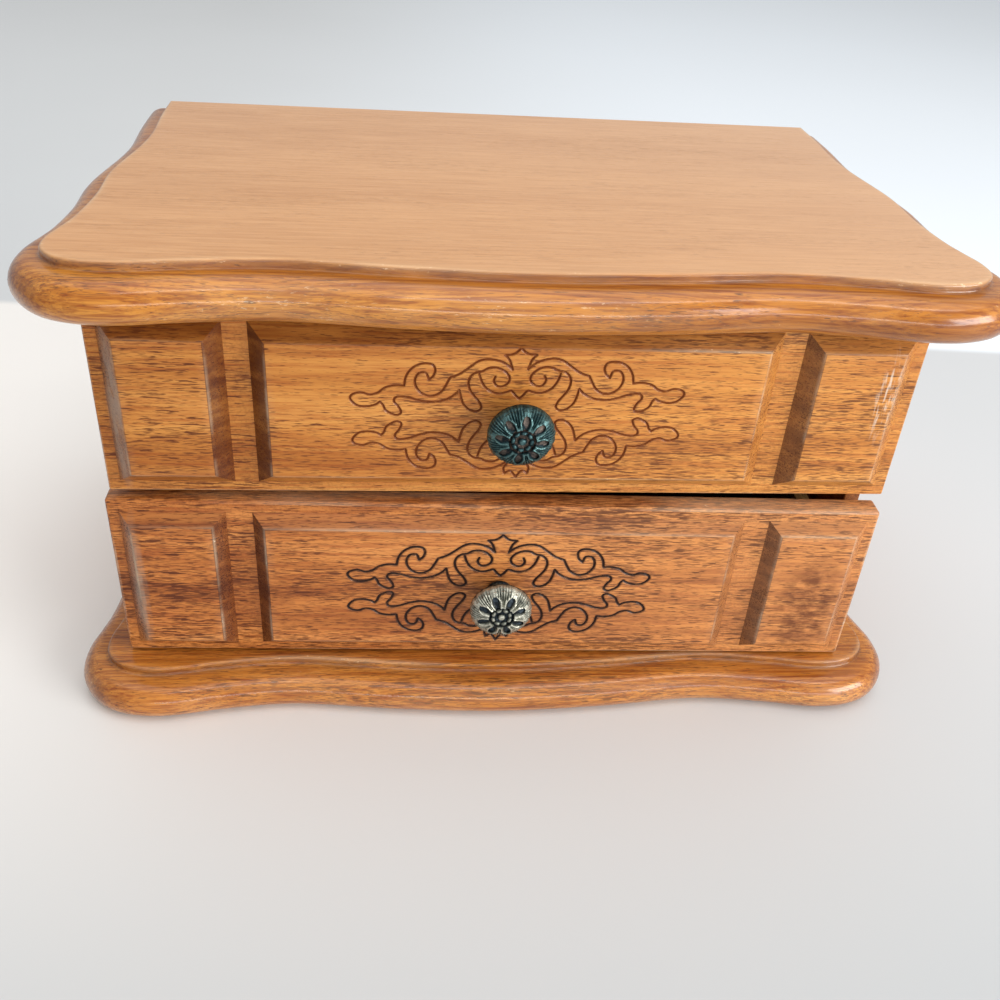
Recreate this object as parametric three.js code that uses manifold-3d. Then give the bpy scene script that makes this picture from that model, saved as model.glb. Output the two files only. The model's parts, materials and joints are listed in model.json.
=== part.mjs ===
// A two-drawer wooden jewelry box with a hinged lid, in millimetres, +Z up, front towards -Y.
// The carcass stands on a serpentine base board and closes with a lid board of the same outline.
// Two raised-panel fronts overlay the carcass edges, each on a drawer box behind it, and a shallow
// lined tray with ring rolls lies under the lid.
import * as THREE from 'three';
import { mergeVertices } from 'three/addons/utils/BufferGeometryUtils.js';
import Module from 'manifold-3d';

const wasm = await Module();
wasm.setup();

// ---- Driving dimensions -------------------------------------------------------------------------
const GAP = 0.3;                    // clearance between pieces that touch on the real box

// Serpentine boards: the same edge moulding on the base and on the lid.
const BOARD_THICKNESS = 14.6;
const BULLNOSE_RADIUS = 6.0;
const FRONT_SHOULDER = 3.4;         // from the foot of the top's small step to the bullnose crown
const SIDE_SHOULDER = 2.3;          // and the same at the sides, where the moulding is narrower
const SHOULDER_COVE = 0.6;          // where the shoulder meets the top's small step
const STEP_ROUNDING = 0.7;
const BACK_Y = 140;                 // straight back edge of both boards and of the carcass
// Right half of the flat top's outline, from the front centre round to the back corner.
const OUTLINE_KNOTS = [
  [0, -9.4], [32, -7.9], [64, -4.9], [87, -6.7], [106, -9.5], [119, -6.8],
  [124.4, 2.8], [120.8, 21], [119.2, 40], [119.6, 60], [116.3, 85], [115.3, 101], [116.2, 122],
  [116.3, BACK_Y],
];

const LID_SHIFT = 2.2;              // the lid sits this far to the right of the carcass

// Fronts: raised fields with bevelled edges on a flat ground.
const FRONT_WIDTH = 230;
const FRONT_HEIGHT = 57.4;
const FRONT_GROUND = 7.5;           // thickness at the low strips
const FRONT_GAP = 2.5;              // between the two fronts
const FRONT_CLEARANCE = 0.6;        // above the base and below the lid
const EDGE_STRIP = 3.5;             // low strip beside the outer fields
const RAIL_BELOW = 3.4;             // low strip under the fields
const RAIL_ABOVE = 3.6;             // low strip above the fields
const OUTER_FIELD = 23.3;           // width of a side field's flat
const UPPER_RELIEF = 4.4;
const LOWER_RELIEF = 3.6;
const UPPER_STILE = 6.6;            // low strip between two fields
const LOWER_STILE = 7.6;
const DRAWER_AJAR = 3.5;            // how far the lower drawer stands open at rest
const DRAWER_RACK = -0.022;         // and how it is racked in its bay, in radians, right end outwards
const RACK_SHIFT = -1.8;            // with its front's middle off to the left

// Carcass.
const SIDE_X = 112.5;               // outer face of the side panels
const SIDE_THICKNESS = 5;
const CARCASS_FRONT_Y = 8;
const BACK_THICKNESS = 7;
const SHELF_THICKNESS = 5;
const TRAY_DEPTH = 19.6;
const TRAY_FLOOR_THICKNESS = 3;
const TRAY_RAIL_THICKNESS = 6;

// Drawer boxes.
const BOX_HALF_WIDTH = 99.5;
const BOX_WALL = 4.5;
const BOX_BACK_Y = 130;
const BOX_FLOOR_THICKNESS = 2.5;
const BOX_FLOOR_RAISE = 2;
const PARTITION_DROP = 3;           // partition tops below the drawer box's rim
const PARTITION_SETBACK = 4;        // behind the box's front board
const UPPER_BOX_HEIGHT = 31;
const LOWER_BOX_HEIGHT = 50;
const DIVIDED_BAY = 32;             // upper drawer's partitions stand this far from the middle
const GUIDE_HEIGHT = 9;
const GUIDE_START_Y = 20;
const UPPER_GUIDE_PLAY = 0.8;       // on each side of the drawer box
const LOWER_GUIDE_PLAY = 2.1;
const LINING_THICKNESS = 1.2;
const PARTITION_THICKNESS = 2.4;

// Knobs and their screws.
const KNOB_RADIUS = 9.4;
const KNOB_HEIGHT = 13.4;
const UPPER_KNOB_DROP = 0.6;        // below the middle of its front
const KNOB_BORE_RADIUS = 1.9;
const KNOB_BORE_DEPTH = 7;
const KNOB_SCREW_RADIUS = 1.5;
const KNOB_SCREW_HEAD_RADIUS = 3.6;

// Hinges on the outside of the back.
const HINGE_X = 68;
const HINGE_WIDTH = 24;
const LEAF_THICKNESS = 0.9;
const LEAF_HEIGHT = 12;
const KNUCKLE_RADIUS = 2.0;
const PIN_RADIUS = 0.85;
const HINGE_SCREW_RADIUS = 0.9;
const HINGE_SCREW_HEAD = 2.0;
const HINGE_SCREW_LENGTH = 6;
const HINGE_SCREW_SPREAD = 7.5;     // either side of the hinge's middle
const HINGE_SCREW_INSET = 4;        // from the leaf's far edge
const SCREW_SLOT_ANGLE = 0.5;

// Mirror inside the lid.
const MIRROR_SIZE = [168, 74];
const MIRROR_THICKNESS = 2;
const FRAME_BORDER = 9;
const FRAME_THICKNESS = 3;

// ---- Heights and places that follow from them ------------------------------------------------
const LOWER_FRONT_Z = BOARD_THICKNESS + FRONT_CLEARANCE;
const LOWER_FRONT_TOP = LOWER_FRONT_Z + FRONT_HEIGHT;
const UPPER_FRONT_Z = LOWER_FRONT_TOP + FRONT_GAP;
const UPPER_FRONT_TOP = UPPER_FRONT_Z + FRONT_HEIGHT;
const LID_Z = UPPER_FRONT_TOP + FRONT_CLEARANCE;
const CARCASS_Z = BOARD_THICKNESS + GAP;
const CARCASS_TOP = LID_Z - GAP;
const SIDE_INNER_X = SIDE_X - SIDE_THICKNESS;
const BACK_INNER_Y = BACK_Y - BACK_THICKNESS;
const SHELF_Z = (LOWER_FRONT_TOP + UPPER_FRONT_Z - SHELF_THICKNESS) / 2;
const SHELF_TOP = SHELF_Z + SHELF_THICKNESS;
const TRAY_FLOOR_TOP = CARCASS_TOP - TRAY_DEPTH;
const TRAY_FLOOR_Z = TRAY_FLOOR_TOP - TRAY_FLOOR_THICKNESS;
const TRAY_FRONT_Y = CARCASS_FRONT_Y + GAP + TRAY_RAIL_THICKNESS;
const MIRROR_Y = (TRAY_FRONT_Y + BACK_INNER_Y) / 2;
const HINGE_Y = BACK_Y + GAP + KNUCKLE_RADIUS;
const HINGE_Z = LID_Z - GAP / 2;
const LEAF_OUTER_Y = BACK_Y + GAP + LEAF_THICKNESS;

// ---- Materials ----------------------------------------------------------------------------------
const finish = (color, roughness, metalness = 0) =>
  new THREE.MeshStandardMaterial({ color, roughness, metalness });
const LID_WOOD = finish(0xc9955c, 0.45);
const FRONT_WOOD = finish(0xbd7a3c, 0.45);
const LOWER_WOOD = finish(0xac6430, 0.45);
const BASE_WOOD = finish(0xb9783d, 0.45);
const CARCASS_WOOD = finish(0x9a6233, 0.55);
const BOX_WOOD = finish(0xc9a26a, 0.7);
const VELVET = finish(0x6e1a24, 0.95);
const BRASS = finish(0xb08d45, 0.35, 1);
const DARK_METAL = finish(0x34504f, 0.45, 1);
const PEWTER = finish(0x7c7d6c, 0.4, 1);
const STEEL = finish(0x9a9a98, 0.35, 1);
const MIRROR = finish(0xdfe6ea, 0.03, 1);

// ---- Solid helpers ------------------------------------------------------------------------------
function toSolid(geometry) {
  const bare = geometry.clone();
  bare.deleteAttribute('normal');
  bare.deleteAttribute('uv');
  const merged = mergeVertices(bare, 1e-4);
  return new wasm.Manifold(new wasm.Mesh({
    numProp: 3,
    vertProperties: new Float32Array(merged.attributes.position.array),
    triVerts: new Uint32Array(merged.index.array),
  }));
}

function toGeometry(solid) {
  const mesh = solid.getMesh();
  const geometry = new THREE.BufferGeometry();
  geometry.setAttribute('position', new THREE.BufferAttribute(mesh.vertProperties, 3));
  geometry.setIndex(new THREE.BufferAttribute(mesh.triVerts, 1));
  geometry.computeVertexNormals();
  return geometry;
}

const cut = (geometry, ...tools) =>
  toGeometry(tools.reduce((solid, tool) => solid.subtract(toSolid(tool)), toSolid(geometry)));

const fuse = (...geometries) =>
  toGeometry(geometries.map(toSolid).reduce((whole, solid) => whole.add(solid)));

// A box between two values on each axis.
function block([x0, x1], [y0, y1], [z0, z1]) {
  const geometry = new THREE.BoxGeometry(x1 - x0, y1 - y0, z1 - z0);
  return geometry.translate((x0 + x1) / 2, (y0 + y1) / 2, (z0 + z1) / 2);
}

// A cylinder along Y, from y0 to y1.
function rodY(radius, x, z, y0, y1, segments = 12) {
  const geometry = new THREE.CylinderGeometry(radius, radius, y1 - y0, segments);
  return geometry.translate(x, (y0 + y1) / 2, z);
}

// A cylinder along X, centred on x, with its axis through (y, z).
function rodX(radius, x, y, z, length, segments = 16) {
  const geometry = new THREE.CylinderGeometry(radius, radius, length, segments);
  return geometry.rotateZ(Math.PI / 2).translate(x, y, z);
}

const box = new THREE.Group();

function add(name, geometry, material) {
  const mesh = new THREE.Mesh(geometry, material);
  mesh.name = name;
  box.add(mesh);
  return mesh;
}

// ---- Serpentine boards --------------------------------------------------------------------------
const RING_POINTS = 76;
const BULLNOSE_STEPS = 6;

// Points and outward normals along the flat top's outline, from the back left to the back right.
function outlineFrames() {
  const right = OUTLINE_KNOTS.map(([x, y]) => new THREE.Vector2(x, y));
  const left = right.slice(1).reverse().map((p) => new THREE.Vector2(-p.x, p.y));
  const curve = new THREE.SplineCurve([...left, ...right]);
  return Array.from({ length: RING_POINTS + 1 }, (_, i) => {
    const along = i / RING_POINTS;
    const tangent = curve.getTangentAt(along);
    const atEnd = i === 0 || i === RING_POINTS;
    const normal = atEnd
      ? new THREE.Vector2(Math.sign(along - 0.5), 0)
      : new THREE.Vector2(tangent.y, -tangent.x);
    return { point: curve.getPointAt(along), normal };
  });
}

// Edge profile from the underside up to the flat top: how far out, and how high.
function edgeProfile(shoulder) {
  const profile = [];
  for (let i = 0; i <= BULLNOSE_STEPS; i += 1) {
    const angle = -Math.PI / 2 + (Math.PI * i) / BULLNOSE_STEPS;
    profile.push([
      shoulder + BULLNOSE_RADIUS * Math.cos(angle),
      BULLNOSE_RADIUS * (1 + Math.sin(angle)),
    ]);
  }
  const crown = 2 * BULLNOSE_RADIUS;
  profile.push([SHOULDER_COVE, crown + 0.1], [0, crown + SHOULDER_COVE]);
  profile.push([0, BOARD_THICKNESS - STEP_ROUNDING], [-STEP_ROUNDING, BOARD_THICKNESS]);
  return profile;
}

// The shoulder narrows as the edge turns from the front to a side.
const shoulderWidth = (normal) =>
  SIDE_SHOULDER + (FRONT_SHOULDER - SIDE_SHOULDER) * Math.max(0, -normal.y) ** 2;

function boardGeometry() {
  const frames = outlineFrames();
  const columns = frames.map(({ point, normal }) =>
    edgeProfile(shoulderWidth(normal)).map(([out, height]) => [
      point.x + normal.x * out, Math.min(point.y + normal.y * out, BACK_Y), height,
    ]));
  const rings = columns[0].map((_, level) => columns.map((column) => column[level]));
  const count = frames.length;
  const positions = rings.flat(2);
  const index = [];
  for (let r = 0; r + 1 < rings.length; r += 1) {
    for (let i = 0; i < count; i += 1) {
      const next = (i + 1) % count;
      const [low, high] = [r * count, (r + 1) * count];
      index.push(low + i, low + next, high + next, low + i, high + next, high + i);
    }
  }
  const flatCap = (ring, flip) => {
    const contour = ring.map(([x, y]) => new THREE.Vector2(x, y));
    return THREE.ShapeUtils.triangulateShape(contour, []).map((t) => (flip ? [t[0], t[2], t[1]] : t));
  };
  const top = (rings.length - 1) * count;
  flatCap(rings[0], true).forEach((t) => index.push(...t));
  flatCap(rings.at(-1), false).forEach((t) => index.push(...t.map((i) => i + top)));
  const geometry = new THREE.BufferGeometry();
  geometry.setAttribute('position', new THREE.Float32BufferAttribute(positions, 3));
  geometry.setIndex(index);
  return geometry;
}

// ---- Carcass ------------------------------------------------------------------------------------
function addCarcass() {
  add('base_board', boardGeometry(), BASE_WOOD);
  for (const [side, sign] of [['left', -1], ['right', 1]]) {
    const span = [sign * SIDE_INNER_X, sign * SIDE_X].sort((a, b) => a - b);
    add(`${side}_side_panel`, block(span, [CARCASS_FRONT_Y, BACK_Y], [CARCASS_Z, CARCASS_TOP]),
      CARCASS_WOOD);
  }
  const inner = [-SIDE_INNER_X + GAP, SIDE_INNER_X - GAP];
  const depth = [CARCASS_FRONT_Y + GAP, BACK_INNER_Y - GAP];
  const back = block(inner, [BACK_INNER_Y, BACK_Y], [CARCASS_Z, CARCASS_TOP]);
  add('back_panel', cut(back, ...hingePilotHoles(-1)), CARCASS_WOOD);
  add('drawer_divider', block(inner, depth, [SHELF_Z, SHELF_TOP]), CARCASS_WOOD);
  add('tray_front_rail',
    block(inner, [CARCASS_FRONT_Y + GAP, TRAY_FRONT_Y], [TRAY_FLOOR_Z, CARCASS_TOP]), CARCASS_WOOD);
  add('tray_floor', block(inner, [TRAY_FRONT_Y + GAP, depth[1]], [TRAY_FLOOR_Z, TRAY_FLOOR_TOP]),
    CARCASS_WOOD);
  addGuides('lower', CARCASS_Z, LOWER_GUIDE_PLAY);
  addGuides('upper', SHELF_TOP + GAP, UPPER_GUIDE_PLAY);
}

// Wooden strips that keep a drawer box centred in its bay.
function addGuides(level, z, play) {
  for (const [side, sign] of [['left', -1], ['right', 1]]) {
    const span = [sign * (BOX_HALF_WIDTH + play), sign * (SIDE_INNER_X - GAP)].sort((a, b) => a - b);
    add(`${level}_guide_${side}`,
      block(span, [GUIDE_START_Y, BACK_INNER_Y - GAP], [z, z + GUIDE_HEIGHT]), BOX_WOOD);
  }
}

// ---- Lined tray under the lid ---------------------------------------------------------------------
const RING_ROLLS = 6;
const ROLL_SIDE_HEIGHT = 3;
const ROLL_CROWN_HEIGHT = 9;
const RING_BAY_WIDTH = 70;
const TRAY_WALL_TOP = TRAY_DEPTH - 5;

function addTray() {
  const left = -SIDE_INNER_X + 2 * GAP;
  const right = SIDE_INNER_X - 2 * GAP;
  const front = TRAY_FRONT_Y + 2 * GAP;
  const back = BACK_INNER_Y - 2 * GAP;
  const liningZ = TRAY_FLOOR_TOP + GAP;
  const liningTop = liningZ + LINING_THICKNESS;
  add('tray_lining', block([left, right], [front, back], [liningZ, liningTop]), VELVET);
  const partitionX = left + RING_BAY_WIDTH;
  add('tray_partition', block([partitionX, partitionX + PARTITION_THICKNESS], [front, back],
    [liningTop + GAP, TRAY_FLOOR_TOP + TRAY_WALL_TOP]), VELVET);
  const pitch = (back - front) / RING_ROLLS;
  for (let i = 0; i < RING_ROLLS; i += 1) {
    const y = front + pitch * (i + 0.5);
    add(`ring_roll_${i + 1}`, rollGeometry(left, partitionX - GAP, y, liningTop + GAP, pitch), VELVET);
  }
}

// A padded roll with a flat underside, lying along X.
function rollGeometry(x0, x1, y, z, pitch) {
  const halfWidth = pitch / 2 - GAP;
  const section = new THREE.Shape();
  section.moveTo(-halfWidth, 0);
  section.lineTo(halfWidth, 0);
  section.absellipse(0, ROLL_SIDE_HEIGHT, halfWidth, ROLL_CROWN_HEIGHT, 0, Math.PI, false, 0);
  const geometry = new THREE.ExtrudeGeometry(section, {
    depth: x1 - x0, bevelEnabled: false, curveSegments: 14,
  });
  return geometry.rotateX(Math.PI / 2).rotateZ(Math.PI / 2).translate(x0, y, z);
}

// ---- Raised-panel fronts --------------------------------------------------------------------------
// One raised field: its foot on the ground plane (y = 0) and its flat at y = -relief.
function fieldGeometry(x0, x1, z0, z1, relief) {
  const positions = [];
  const corners = (inset, y) => {
    const [xa, xb, za, zb] = [x0 + inset, x1 - inset, z0 + inset, z1 - inset];
    positions.push(xa, y, za, xb, y, za, xb, y, zb, xa, y, zb);
  };
  corners(0, 1);
  corners(0, 0);
  corners(relief, -relief);
  const index = [0, 2, 1, 0, 3, 2, 8, 9, 10, 8, 10, 11];
  for (const ring of [0, 4]) {
    for (let i = 0; i < 4; i += 1) {
      const next = (i + 1) % 4;
      index.push(ring + i, ring + next, ring + 4 + next, ring + i, ring + 4 + next, ring + 4 + i);
    }
  }
  const geometry = new THREE.BufferGeometry();
  geometry.setAttribute('position', new THREE.Float32BufferAttribute(positions, 3));
  geometry.setIndex(index);
  return geometry;
}

// Side field, stile, centre field, stile, side field, from left to right.
function fieldSpans(relief, stile) {
  const outerFoot = FRONT_WIDTH / 2 - EDGE_STRIP;
  const outerInner = outerFoot - OUTER_FIELD - 2 * relief;
  const centre = outerInner - stile;
  return [[-outerFoot, -outerInner], [-centre, centre], [outerInner, outerFoot]];
}

function frontGeometry(relief, stile, knobHeight) {
  const ground = block([-FRONT_WIDTH / 2, FRONT_WIDTH / 2], [0, FRONT_GROUND], [0, FRONT_HEIGHT]);
  const fields = fieldSpans(relief, stile).map(([x0, x1]) =>
    fieldGeometry(x0, x1, RAIL_BELOW, FRONT_HEIGHT - RAIL_ABOVE, relief));
  const whole = fuse(ground, ...fields);
  const screwHole = rodY(KNOB_SCREW_RADIUS + GAP, 0, knobHeight, -relief - 1, FRONT_GROUND + 1);
  return cut(whole, screwHole);
}

// ---- Rosette knob ---------------------------------------------------------------------------------
// Lathe profile from the foot's bore outwards and over the head, as radius and height off the front.
const KNOB_PROFILE = [
  [KNOB_BORE_RADIUS, 0], [3.8, 0], [4.0, 0.9], [3.2, 2.0], [3.2, 4.6], [5.6, 6.8],
  [KNOB_RADIUS - 0.5, 7.8], [KNOB_RADIUS, 9.0], [KNOB_RADIUS - 0.6, 10.6], [7.2, 12.2], [4.0, 13.1],
  [0, KNOB_HEIGHT], [0, KNOB_BORE_DEPTH], [KNOB_BORE_RADIUS, KNOB_BORE_DEPTH], [KNOB_BORE_RADIUS, 0],
];
const PETALS = 8;

// The knob stands along -Y with its foot at y = 0.
function knobGeometry() {
  const profile = KNOB_PROFILE.map(([r, h]) => new THREE.Vector2(r, h));
  const body = new THREE.LatheGeometry(profile, 24);
  const hollows = Array.from({ length: PETALS }, (_, i) => {
    const angle = (2 * Math.PI * (i + 0.5)) / PETALS;
    const hollow = new THREE.SphereGeometry(1, 8, 6).scale(1.5, 1.1, 2.6);
    return hollow.translate(0, 12.4, 6.2).rotateY(angle);
  });
  return cut(body, ...hollows).rotateX(Math.PI);
}

// A round-head screw from inside the drawer, its shank along -Y from the head's seat at y = 0.
function knobScrewGeometry(length) {
  const profile = [
    [0, 2.2], [2.2, 1.9], [KNOB_SCREW_HEAD_RADIUS, 0.6], [KNOB_SCREW_HEAD_RADIUS, 0],
    [KNOB_SCREW_RADIUS, 0], [KNOB_SCREW_RADIUS, -length + 0.6], [0.8, -length], [0, -length],
  ].reverse().map(([r, h]) => new THREE.Vector2(r, h));
  const body = new THREE.LatheGeometry(profile, 16);
  const slot = new THREE.BoxGeometry(2 * KNOB_SCREW_HEAD_RADIUS + 1, 1.4, 0.9).translate(0, 2.1, 0);
  return cut(body, slot);
}

// ---- Drawers ----------------------------------------------------------------------------------------
function addDrawer(level, spec) {
  const { frontZ, boxZ, boxHeight, relief, stile, knobHeight, wood, metal, ajar, rack, shift } = spec;
  const place = (name, geometry, material) =>
    add(`${level}_${name}`, geometry.rotateZ(rack).translate(shift, -ajar, 0), material);
  place('drawer_front', frontGeometry(relief, stile, knobHeight).translate(0, 0, frontZ), wood);

  const boxFrontY = FRONT_GROUND + GAP;
  const innerFrontY = boxFrontY + BOX_WALL;
  const innerBackY = BOX_BACK_Y - BOX_WALL;
  const innerX = BOX_HALF_WIDTH - BOX_WALL;
  const heights = [boxZ, boxZ + boxHeight];
  const screwZ = frontZ + knobHeight;
  const boxFront = block([-BOX_HALF_WIDTH, BOX_HALF_WIDTH], [boxFrontY, innerFrontY], heights);
  const screwHole = rodY(KNOB_SCREW_RADIUS + GAP, 0, screwZ, boxFrontY - 1, innerFrontY + 1);
  place('drawer_box_front', cut(boxFront, screwHole), BOX_WOOD);
  for (const [side, sign] of [['left', -1], ['right', 1]]) {
    const span = [sign * innerX, sign * BOX_HALF_WIDTH].sort((a, b) => a - b);
    place(`drawer_${side}_side`, block(span, [innerFrontY + GAP, BOX_BACK_Y], heights), BOX_WOOD);
  }
  const between = [-innerX + GAP, innerX - GAP];
  place('drawer_back', block(between, [innerBackY, BOX_BACK_Y], heights), BOX_WOOD);
  const floorZ = boxZ + BOX_FLOOR_RAISE;
  const floorTop = floorZ + BOX_FLOOR_THICKNESS;
  place('drawer_bottom', block(between, [innerFrontY + GAP, innerBackY - GAP], [floorZ, floorTop]),
    BOX_WOOD);
  const padZ = floorTop + GAP;
  const padTop = padZ + LINING_THICKNESS;
  const padX = [between[0] + GAP, between[1] - GAP];
  const padY = [innerFrontY + 2 * GAP, innerBackY - 2 * GAP];
  place('drawer_lining', block(padX, padY, [padZ, padTop]), VELVET);
  for (const [i, x] of spec.partitions.entries()) {
    const half = PARTITION_THICKNESS / 2;
    const partition = block([x - half, x + half], [innerFrontY + PARTITION_SETBACK, padY[1]],
      [padTop + GAP, boxZ + boxHeight - PARTITION_DROP]);
    place(`drawer_partition_${i + 1}`, partition, VELVET);
  }
  place('knob', knobGeometry().translate(0, -relief - GAP, screwZ), metal);
  const shank = innerFrontY + GAP + relief + GAP + KNOB_BORE_DEPTH - 0.6;
  place('knob_screw', knobScrewGeometry(shank).translate(0, innerFrontY + GAP, screwZ), STEEL);
}

// ---- Lid, mirror and hinges ----------------------------------------------------------------------
function addLid() {
  const board = boardGeometry().translate(LID_SHIFT, 0, LID_Z);
  add('lid_board', cut(board, ...hingePilotHoles(1)), LID_WOOD);
  const [width, depth] = MIRROR_SIZE;
  const top = LID_Z - GAP;
  const panel = (extra, heights) => block(
    [LID_SHIFT - width / 2 - extra, LID_SHIFT + width / 2 + extra],
    [MIRROR_Y - depth / 2 - extra, MIRROR_Y + depth / 2 + extra], heights);
  const opening = panel(GAP, [top - FRAME_THICKNESS - 1, top + 1]);
  add('mirror_frame', cut(panel(FRAME_BORDER, [top - FRAME_THICKNESS, top]), opening), LID_WOOD);
  add('mirror', panel(0, [top - MIRROR_THICKNESS, top]), MIRROR);
}

const hingeScrewX = (hingeX) => [hingeX - HINGE_SCREW_SPREAD, hingeX + HINGE_SCREW_SPREAD];
const hingeScrewZ = (direction) => HINGE_Z + direction * (LEAF_HEIGHT - HINGE_SCREW_INSET);

// Holes for the hinge screws: direction 1 is in the lid's back edge, -1 in the back panel.
function hingePilotHoles(direction) {
  return [-HINGE_X, HINGE_X].flatMap(hingeScrewX).map((x) =>
    rodY(HINGE_SCREW_RADIUS + GAP, x, hingeScrewZ(direction), BACK_Y - HINGE_SCREW_LENGTH, BACK_Y + 1, 8));
}

// A leaf with its knuckles; direction 1 reaches up onto the lid, -1 down onto the back panel.
function leafGeometry(x, direction, knuckles) {
  const ends = [HINGE_Z + direction * 0.7, HINGE_Z + direction * LEAF_HEIGHT].sort((a, b) => a - b);
  let whole = block([x - HINGE_WIDTH / 2, x + HINGE_WIDTH / 2], [BACK_Y + GAP, LEAF_OUTER_Y], ends);
  const pitch = HINGE_WIDTH / 3;
  const clearances = [0, 1, 2].filter((i) => !knuckles.includes(i)).map((i) => block(
    [x + (i - 1.5) * pitch - GAP, x + (i - 0.5) * pitch + GAP], [BACK_Y, HINGE_Y + KNUCKLE_RADIUS + 1],
    [HINGE_Z - KNUCKLE_RADIUS - GAP, HINGE_Z + KNUCKLE_RADIUS + GAP]));
  whole = cut(whole, ...clearances);
  const barrels = knuckles.map((i) =>
    rodX(KNUCKLE_RADIUS, x + (i - 1) * pitch, HINGE_Y, HINGE_Z, pitch - GAP));
  const bore = rodX(PIN_RADIUS + GAP, x, HINGE_Y, HINGE_Z, HINGE_WIDTH + 2);
  const sinks = hingeScrewX(x).map((screwX) =>
    new THREE.CylinderGeometry(HINGE_SCREW_HEAD + GAP, HINGE_SCREW_RADIUS + GAP, LEAF_THICKNESS + 0.02, 12)
      .translate(screwX, BACK_Y + GAP + LEAF_THICKNESS / 2, hingeScrewZ(direction)));
  return cut(fuse(whole, ...barrels), bore, ...sinks);
}

// A countersunk slotted screw with its head's face on the leaf's outer face.
function hingeScrewGeometry(slotAngle) {
  const profile = [
    [0, -HINGE_SCREW_LENGTH], [0.3, -HINGE_SCREW_LENGTH],
    [HINGE_SCREW_RADIUS, -HINGE_SCREW_LENGTH + 1.5], [HINGE_SCREW_RADIUS, -LEAF_THICKNESS],
    [HINGE_SCREW_HEAD, 0], [0, 0.25],
  ].map(([r, h]) => new THREE.Vector2(r, h));
  const slot = new THREE.BoxGeometry(5, 0.7, 0.6).rotateY(slotAngle).translate(0, 0.2, 0);
  return cut(new THREE.LatheGeometry(profile, 12), slot);
}

function addHinges() {
  for (const [side, x] of [['left', -HINGE_X], ['right', HINGE_X]]) {
    const slotAngle = Math.sign(x) * SCREW_SLOT_ANGLE;
    add(`${side}_hinge_body_leaf`, leafGeometry(x, -1, [0, 2]), BRASS);
    add(`${side}_hinge_lid_leaf`, leafGeometry(x, 1, [1]), BRASS);
    add(`${side}_hinge_pin`, rodX(PIN_RADIUS, x, HINGE_Y, HINGE_Z, HINGE_WIDTH + 1.2, 12), BRASS);
    for (const [leaf, direction] of [['body', -1], ['lid', 1]]) {
      hingeScrewX(x).forEach((screwX, i) => add(`${side}_hinge_${leaf}_screw_${i + 1}`,
        hingeScrewGeometry(slotAngle).translate(screwX, LEAF_OUTER_Y, hingeScrewZ(direction)), BRASS));
    }
  }
}

// ---- Assembly -------------------------------------------------------------------------------------
addCarcass();
addTray();
addDrawer('upper', {
  frontZ: UPPER_FRONT_Z, boxZ: SHELF_TOP + 2 * GAP, boxHeight: UPPER_BOX_HEIGHT,
  relief: UPPER_RELIEF, stile: UPPER_STILE, knobHeight: FRONT_HEIGHT / 2 - UPPER_KNOB_DROP,
  wood: FRONT_WOOD, metal: DARK_METAL, ajar: 0, rack: 0, shift: 0, partitions: [-DIVIDED_BAY, DIVIDED_BAY],
});
addDrawer('lower', {
  frontZ: LOWER_FRONT_Z, boxZ: CARCASS_Z + 2 * GAP, boxHeight: LOWER_BOX_HEIGHT,
  relief: LOWER_RELIEF, stile: LOWER_STILE, knobHeight: FRONT_HEIGHT / 2,
  wood: LOWER_WOOD, metal: PEWTER, ajar: DRAWER_AJAR, rack: DRAWER_RACK, shift: RACK_SHIFT, partitions: [],
});
addLid();
addHinges();

// The origin is the bottom centre of the whole box: from the base's left end to the lid's right
// end, and from the lower knob to the hinge barrels.
const FRONT_REACH = DRAWER_AJAR + LOWER_RELIEF + GAP + KNOB_HEIGHT;
box.position.x = -LID_SHIFT / 2;
box.position.y = -(HINGE_Y + KNUCKLE_RADIUS - FRONT_REACH) / 2;

export default box;
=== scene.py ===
"""The looks of a two-drawer wooden jewelry box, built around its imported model.

Everything is in metres in the model's own frame: +Z up, the front towards -Y.
Lengths written with MM are millimetres.
"""
import json
import math

import bpy
import numpy as np
from mathutils import Matrix, Vector


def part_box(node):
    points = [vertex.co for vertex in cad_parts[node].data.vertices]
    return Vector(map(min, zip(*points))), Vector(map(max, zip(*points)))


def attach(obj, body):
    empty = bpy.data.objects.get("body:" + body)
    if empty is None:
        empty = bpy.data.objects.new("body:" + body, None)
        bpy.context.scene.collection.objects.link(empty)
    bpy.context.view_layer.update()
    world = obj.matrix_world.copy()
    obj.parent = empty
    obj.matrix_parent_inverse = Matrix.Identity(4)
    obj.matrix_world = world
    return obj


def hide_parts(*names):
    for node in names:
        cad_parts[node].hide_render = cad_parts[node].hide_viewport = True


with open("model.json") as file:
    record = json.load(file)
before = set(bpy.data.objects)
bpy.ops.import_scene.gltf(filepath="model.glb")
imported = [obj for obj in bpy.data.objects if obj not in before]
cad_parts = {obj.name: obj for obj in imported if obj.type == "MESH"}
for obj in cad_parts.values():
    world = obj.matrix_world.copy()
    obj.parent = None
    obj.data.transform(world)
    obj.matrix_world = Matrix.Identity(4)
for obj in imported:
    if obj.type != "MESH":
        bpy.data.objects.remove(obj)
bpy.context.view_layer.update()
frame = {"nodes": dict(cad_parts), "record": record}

MM = 0.001
NODES = frame["nodes"]
BODY_OF = {n: body for body, group in frame["record"]["behaviour"]["bodies"].items() for n in group}


# ---- Camera and light ----
CAMERA_PLACE = (-0.03565, -0.31981, 0.24916)
CAMERA_YAW = math.radians(7.02)
CAMERA_PITCH = math.radians(34.21)
CAMERA_ROLL = math.radians(4.27)
CAMERA_LENS = 38.05


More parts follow.
